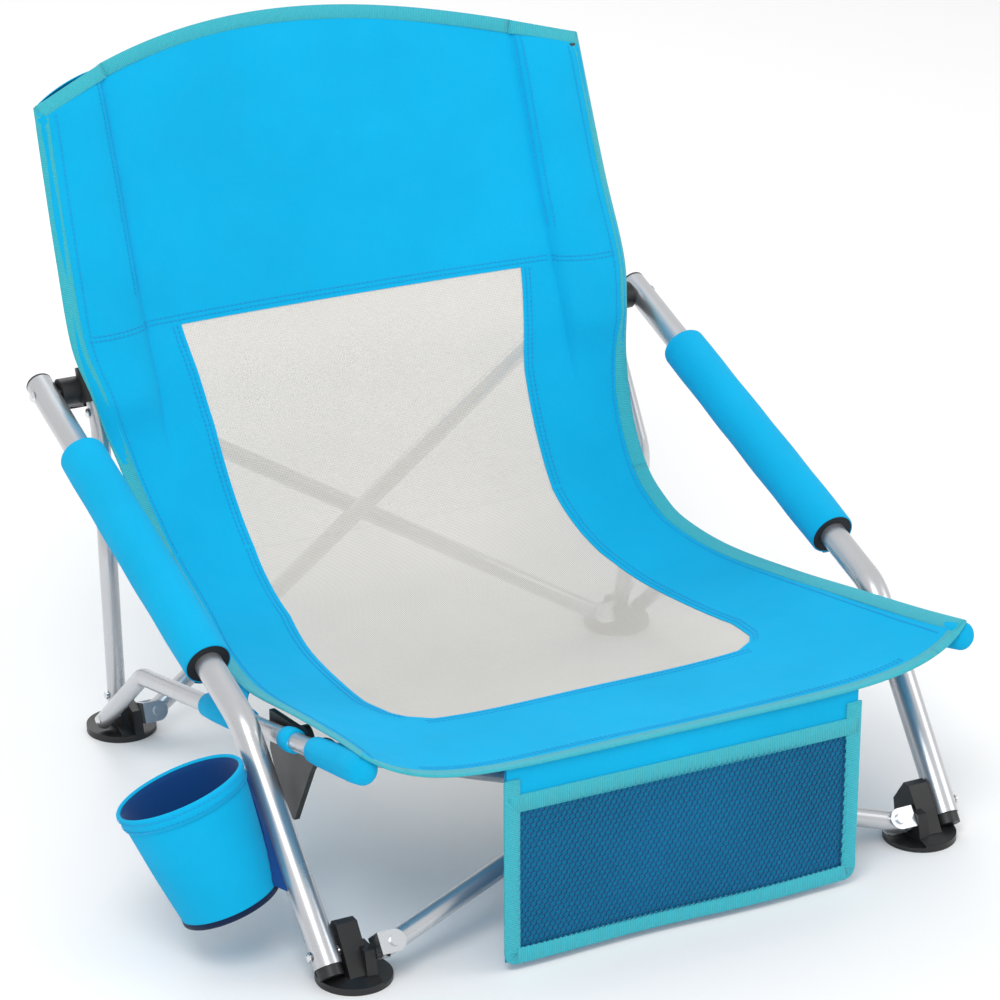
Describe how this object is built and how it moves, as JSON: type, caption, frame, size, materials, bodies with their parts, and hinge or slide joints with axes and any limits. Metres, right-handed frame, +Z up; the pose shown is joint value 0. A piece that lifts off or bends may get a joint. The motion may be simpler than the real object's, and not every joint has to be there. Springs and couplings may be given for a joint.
{
  "type": "folding camp chair",
  "caption": "Low folding beach chair: fabric sling with a mesh back on a scissor tube frame, padded armrests, side cup holder and front storage pocket.",
  "frame": {"origin": "middle of the whole chair's footprint, cup holder included, at floor level", "axes": "+X to the sitter's left, which is the right of a viewer in front of the chair; -Y the way the sitter faces; +Z up"},
  "size_m": [0.7187, 0.6626, 0.588],
  "materials": {
    "tube": "silver-grey powder coat, satin",
    "zinc": "bright zinc plate",
    "screws": "polished plated steel",
    "black_plastic": "moulded, fine texture",
    "foam": "closed-cell foam",
    "strap": "woven webbing",
    "fabric": "coated polyester plain weave",
    "binding": "ribbed grosgrain tape",
    "mesh": "open woven mesh",
    "net": "knitted net",
    "lining": "coated lining"
  },
  "bodies": {
    "left_post": {"left_post": "tube", "left_post_cap": "black_plastic", "left_rear_foot": "black_plastic", "left_rear_bracket": "zinc", "left_stop_bolt": "screws", "left_post_bolt": "screws", "left_rail_bolt": "screws", "back_sling": "fabric"},
    "right_post": {"right_post": "tube", "right_post_cap": "black_plastic", "right_rear_foot": "black_plastic", "right_rear_bracket": "zinc", "right_stop_bolt": "screws", "right_post_bolt": "screws", "right_rail_bolt": "screws"},
    "rear_tube_a": {"rear_cross_tube_a": "tube", "rear_cross_rivet": "screws"},
    "rear_tube_b": {"rear_cross_tube_b": "tube"},
    "left_slider": {"left_slider": "black_plastic", "left_slider_pin": "screws"},
    "right_slider": {"right_slider": "black_plastic", "right_slider_pin": "screws"},
    "left_arm": {"left_arm_tube": "tube", "left_arm_cap": "black_plastic", "left_arm_foam": "foam", "left_arm_sleeve": "fabric", "left_arm_bolt": "screws", "left_front_foot": "black_plastic", "left_leg_bolt": "screws", "cup_holder": "fabric", "cup_strap": "strap"},
    "right_arm": {"right_arm_tube": "tube", "right_arm_cap": "black_plastic", "right_arm_foam": "foam", "right_arm_sleeve": "fabric", "right_arm_bolt": "screws", "right_front_foot": "black_plastic", "right_leg_bolt": "screws"},
    "left_rail": {"left_rail": "tube", "left_hub": "black_plastic", "left_hub_bolt": "screws", "seat_sling": "fabric", "storage_pocket": "fabric"},
    "right_rail": {"right_rail": "tube", "right_hub": "black_plastic", "right_hub_bolt": "screws"},
    "left_front_bracket": {"left_front_bracket": "zinc"},
    "right_front_bracket": {"right_front_bracket": "zinc"},
    "front_tube_a": {"front_cross_tube_a": "tube", "front_rivet_a": "screws", "right_knuckle": "black_plastic"},
    "front_tube_b": {"front_cross_tube_b": "tube", "front_rivet_b": "screws", "left_knuckle": "black_plastic"}
  },
  "joints": [
    {"name": "fold", "type": "hinge", "parent": "left_post", "child": "rear_tube_a", "pos_m": [-0.17663, 0.1985, 0.0195], "axis": [0, -0.9397, 0.342], "range_deg": [0, 45], "deforming": ["back_sling", "seat_sling", "storage_pocket"]},
    {"name": "rear_cross", "type": "hinge", "parent": "rear_tube_a", "child": "rear_tube_b", "pos_m": [0.04937, 0.24655, 0.15153], "axis": [0, -0.9397, 0.342], "range_deg": [-90.01, 0]},
    {"name": "right_post_pin", "type": "hinge", "parent": "rear_tube_b", "child": "right_post", "pos_m": [0.27537, 0.1985, 0.0195], "axis": [0, -0.9397, 0.342], "range_deg": [0, 45.01]},
    {"name": "left_slider_pin", "type": "hinge", "parent": "rear_tube_b", "child": "left_slider", "pos_m": [-0.17663, 0.29461, 0.28355], "axis": [0, -0.9397, 0.342], "range_deg": [0, 45.01]},
    {"name": "right_slider_pin", "type": "hinge", "parent": "rear_tube_a", "child": "right_slider", "pos_m": [0.27537, 0.29461, 0.28355], "axis": [0, -0.9397, 0.342], "range_deg": [-45.01, 0]},
    {"name": "left_arm_pivot", "type": "hinge", "parent": "left_slider", "child": "left_arm", "pos_m": [-0.24063, 0.25124, 0.30652], "axis": [1, 0, 0], "range_deg": [0, 48.79]},
    {"name": "right_arm_pivot", "type": "hinge", "parent": "right_slider", "child": "right_arm", "pos_m": [0.33937, 0.25124, 0.30652], "axis": [1, 0, 0], "range_deg": [0, 48.79]},
    {"name": "left_rail_pivot", "type": "hinge", "parent": "left_post", "child": "left_rail", "pos_m": [-0.21663, 0.2035, 0.018], "axis": [-1, 0, 0], "range_deg": [0, 36.01]},
    {"name": "right_rail_pivot", "type": "hinge", "parent": "right_post", "child": "right_rail", "pos_m": [0.31537, 0.2035, 0.018], "axis": [-1, 0, 0], "range_deg": [0, 36.01]},
    {"name": "left_bracket_swivel", "type": "hinge", "parent": "left_arm", "child": "left_front_bracket", "pos_m": [-0.18463, -0.2915, 0.025], "axis": [1, 0, 0], "range_deg": [0, 18.45]},
    {"name": "right_bracket_swivel", "type": "hinge", "parent": "right_arm", "child": "right_front_bracket", "pos_m": [0.28337, -0.2915, 0.025], "axis": [1, 0, 0], "range_deg": [0, 18.45]},
    {"name": "front_tube_a_pin", "type": "hinge", "parent": "left_front_bracket", "child": "front_tube_a", "pos_m": [-0.18463, -0.2915, 0.025], "axis": [0, -0.7748, 0.6322], "range_deg": [0, 59.86]},
    {"name": "front_tube_b_pin", "type": "hinge", "parent": "right_front_bracket", "child": "front_tube_b", "pos_m": [0.28337, -0.2915, 0.025], "axis": [0, 0.7748, -0.6322], "range_deg": [0, 59.86]}
  ],
  "couplings": [
    {"joint": "rear_cross", "follows": "fold", "ratio": -2},
    {"joint": "right_post_pin", "follows": "fold", "ratio": 1},
    {"joint": "left_slider_pin", "follows": "fold", "ratio": 1},
    {"joint": "right_slider_pin", "follows": "fold", "ratio": -1},
    {"joint": "left_arm_pivot", "follows": "fold", "ratio": 1.084},
    {"joint": "right_arm_pivot", "follows": "fold", "ratio": 1.084},
    {"joint": "left_rail_pivot", "follows": "fold", "ratio": 0.8},
    {"joint": "right_rail_pivot", "follows": "fold", "ratio": 0.8},
    {"joint": "left_bracket_swivel", "follows": "fold", "ratio": 0.40976},
    {"joint": "right_bracket_swivel", "follows": "fold", "ratio": 0.40976},
    {"joint": "front_tube_a_pin", "follows": "fold", "ratio": 1.33},
    {"joint": "front_tube_b_pin", "follows": "fold", "ratio": 1.33}
  ]
}
